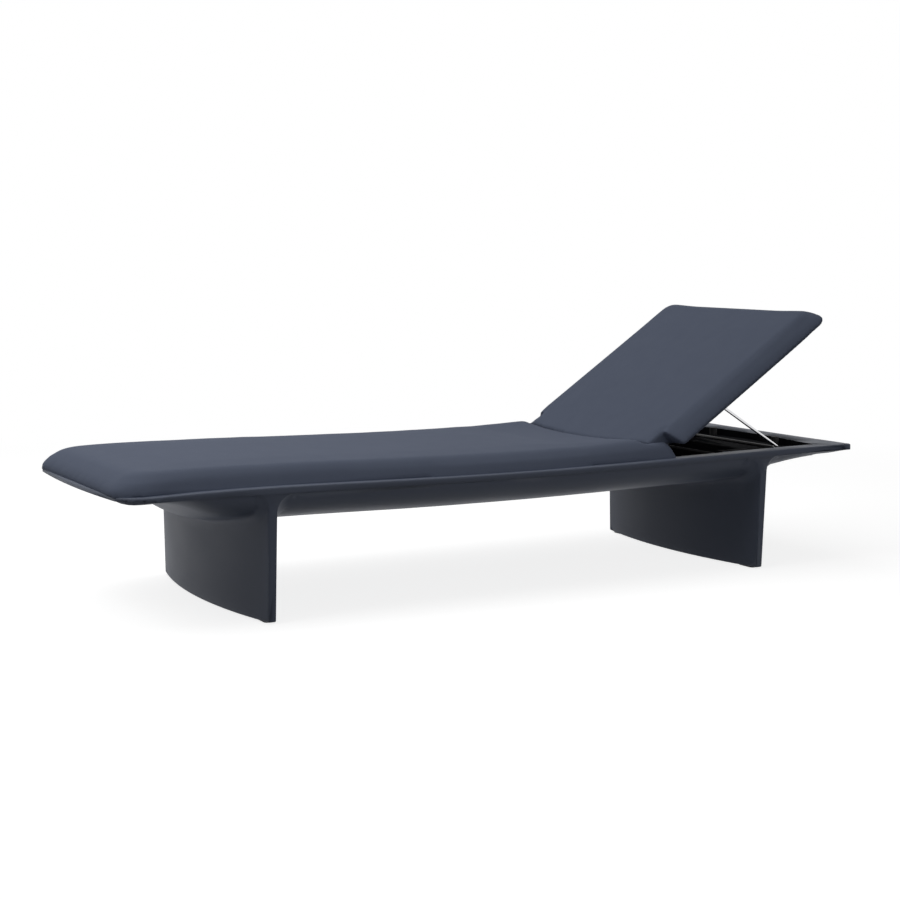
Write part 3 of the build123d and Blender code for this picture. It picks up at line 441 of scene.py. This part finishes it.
def backHem(piece, pad):  # a fuller lower bevel, squarer top corners and a slightly wider tongue
    slope = math.radians(pad["slope"])
    for vertex in piece.data.vertices:
        x, y, z = (value / mm for value in vertex.co)
        along = (x - pad["foot"][0]) * math.cos(slope) + (z - pad["foot"][1]) * math.sin(slope)
        rise = (z - pad["foot"][1]) * math.cos(slope) - (x - pad["foot"][0]) * math.sin(slope)
        side = 1 if y > 0 else -1
        wider = pad["fuller"] * (1 - ramp(rise, *pad["fullerRise"])) * ramp(abs(y), *pad["fullerAcross"])
        wider += pad["tongue"] * ramp(abs(y), *pad["tongueAcross"]) * (1 - ramp(along, *pad["tongueAlong"]))
        wider += pad["wider"] * ramp(abs(y), *pad["widerAcross"])
        further = pad["longer"] + pad["corners"] * ramp(abs(y), *pad["cornersAcross"])
        further *= ramp(along, *pad["endAlong"])
        x += further * math.cos(slope)
        z += further * math.sin(slope)
        vertex.co = (x * mm, (y + side * wider) * mm, z * mm)


paddedPiece("seat_foam", "seat_pad", seatPad, seatMaterial, "base", ["seat_foam", "seat_cover"], seatHem)
paddedPiece("back_foam", "back_pad", backPad, backMaterial, "back", ["back_foam", "back_cover"], backHem)


# Shade sleeve: a thin black tube over the prop's foot bar, a dark piece standing in for the shade on the bar
# where it lies down in the tub
shadeSleeve = {"place": (0.8492, 0.0, 0.3171), "radiusMm": 4.6, "length": 0.53, "sides": 32, "smoothAngle": 40}
bpy.ops.mesh.primitive_cylinder_add(vertices=shadeSleeve["sides"], radius=shadeSleeve["radiusMm"] * mm,
                                    depth=shadeSleeve["length"])
footBarShadeSleeve = bpy.context.object
footBarShadeSleeve.name = "foot_bar_shade_sleeve"
footBarShadeSleeve.location = shadeSleeve["place"]
footBarShadeSleeve.rotation_euler = (math.radians(90), 0, 0)
bpy.ops.object.transform_apply(location=True, rotation=True, scale=True)
bpy.ops.object.shade_smooth_by_angle(angle=math.radians(shadeSleeve["smoothAngle"]))
# painted shade: the tube takes the clips' black material so that the foot bar looks shaded
footBarShadeSleeve.data.materials.append(clipMaterial)
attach(footBarShadeSleeve, "prop")
print("foot bar's sleeve made")


# Camera at the photograph's view

view = {"place": (-2.17753, -3.81373, 0.85566), "azimuth": 29.405, "pitch": 6.848, "roll": 0.249,
        "lens": 66.65, "sensor": 36.0, "farEnd": 60.0}
cameraData = bpy.data.cameras.new("camera")
cameraData.lens = view["lens"]
cameraData.sensor_width = view["sensor"]
cameraData.clip_end = view["farEnd"]
camera = bpy.data.objects.new("camera", cameraData)
scene.collection.objects.link(camera)
tilt = Euler((math.radians(90 - view["pitch"]), 0, 0)).to_matrix()
swing = Euler((0, 0, -math.radians(view["azimuth"]))).to_matrix()
lean = Euler((0, 0, math.radians(view["roll"]))).to_matrix()
camera.matrix_world = Matrix.Translation(view["place"]) @ (swing @ tilt @ lean).to_4x4()
scene.camera = camera


# Floor and light: a pale floor that fades into a white room, with lamps above, near the side and at the foot

room = {"floorSize": 24.0, "floorHeight": -0.0005, "fadeStart": 1.8, "fadeEnd": 3.6, "ambient": 0.09,
        "bounce": "#4c4c4c", "paint": "#c8c8c8", "glow": 0.82}


def makeFloor():
    bpy.ops.mesh.primitive_plane_add(size=room["floorSize"], location=(0, 0, room["floorHeight"]))
    floor = bpy.context.object
    floor.name = "studio_floor"
    material = newMaterial("painted_floor")
    place = addNode(material, "ShaderNodeTexCoord")
    distance = addNode(material, "ShaderNodeVectorMath", {"operation": "LENGTH"}, {0: (place, "Object")})
    fade = addNode(material, "ShaderNodeMapRange", {1: room["fadeStart"], 2: room["fadeEnd"]},
                   {0: (distance, "Value")})
    rays = addNode(material, "ShaderNodeLightPath")
    seen = addNode(material, "ShaderNodeMath", {"operation": "MAXIMUM"},
                   {0: (rays, "Is Camera Ray"), 1: (rays, "Is Glossy Ray")})
    bounceShader = addNode(material, "ShaderNodeBsdfDiffuse", {"Color": toLinear(room["bounce"])})
    paintShader = addNode(material, "ShaderNodeBsdfDiffuse", {"Color": toLinear(room["paint"])})
    glowShader = addNode(material, "ShaderNodeEmission",
                         {"Color": toLinear("#ffffff"), "Strength": room["glow"]})
    paleShader = addNode(material, "ShaderNodeAddShader", links={0: (paintShader, 0), 1: (glowShader, 0)})
    whiteShader = addNode(material, "ShaderNodeEmission", {"Color": toLinear("#ffffff"), "Strength": 1.0})
    shown = addNode(material, "ShaderNodeMixShader",
                    links={0: (fade, 0), 1: (paleShader, 0), 2: (whiteShader, 0)})
    shader = addNode(material, "ShaderNodeMixShader",
                     links={0: (seen, 0), 1: (bounceShader, 0), 2: (shown, 0)})
    floor.data.materials.append(finishMaterial(material, shader))


def makeWorld():
    world = bpy.data.worlds.new("white_room")
    world.use_nodes = True
    world.node_tree.nodes.clear()
    rays = addNode(world, "ShaderNodeLightPath")
    glossy = addNode(world, "ShaderNodeMath", {"operation": "MAXIMUM"},
                     {0: (rays, "Is Camera Ray"), 1: (rays, "Is Glossy Ray")})
    seen = addNode(world, "ShaderNodeMath", {"operation": "MAXIMUM"},
                   {0: (glossy, 0), 1: (rays, "Is Transmission Ray")})
    strength = addNode(world, "ShaderNodeMapRange", {3: room["ambient"], 4: 1.0}, {0: (seen, 0)})
    sky = addNode(world, "ShaderNodeBackground", {"Color": toLinear("#ffffff")}, {"Strength": (strength, 0)})
    addNode(world, "ShaderNodeOutputWorld", links={"Surface": (sky, 0)})
    scene.world = world


def addLamp(name, place, target, size, power):
    data = bpy.data.lights.new(name, "AREA")
    data.shape = "RECTANGLE"
    data.size, data.size_y = size
    data.energy = power
    lamp = bpy.data.objects.new(name, data)
    scene.collection.objects.link(lamp)
    lamp.location = place
    lamp.rotation_euler = (Vector(target) - Vector(place)).to_track_quat("-Z", "Y").to_euler()


makeFloor()
makeWorld()
lamps = [
    {"name": "top_softbox", "place": (-0.8, 0.7, 3.0), "target": (0, 0, 0.3),
     "size": (4.5, 3.0), "power": 46.0},
    {"name": "near_softbox", "place": (0.3, -4.0, 1.6), "target": (0, 0, 0.3),
     "size": (4.0, 1.5), "power": 19.0},
    {"name": "foot_softbox", "place": (-2.7, 0.0, 2.6), "target": (-0.4, 0, 0.3),
     "size": (2.0, 1.6), "power": 17.0},
]
for lamp in lamps:
    addLamp(**lamp)
scene.view_settings.view_transform = "Standard"  # the photograph's colours as they are
print("room, lamps and camera made")
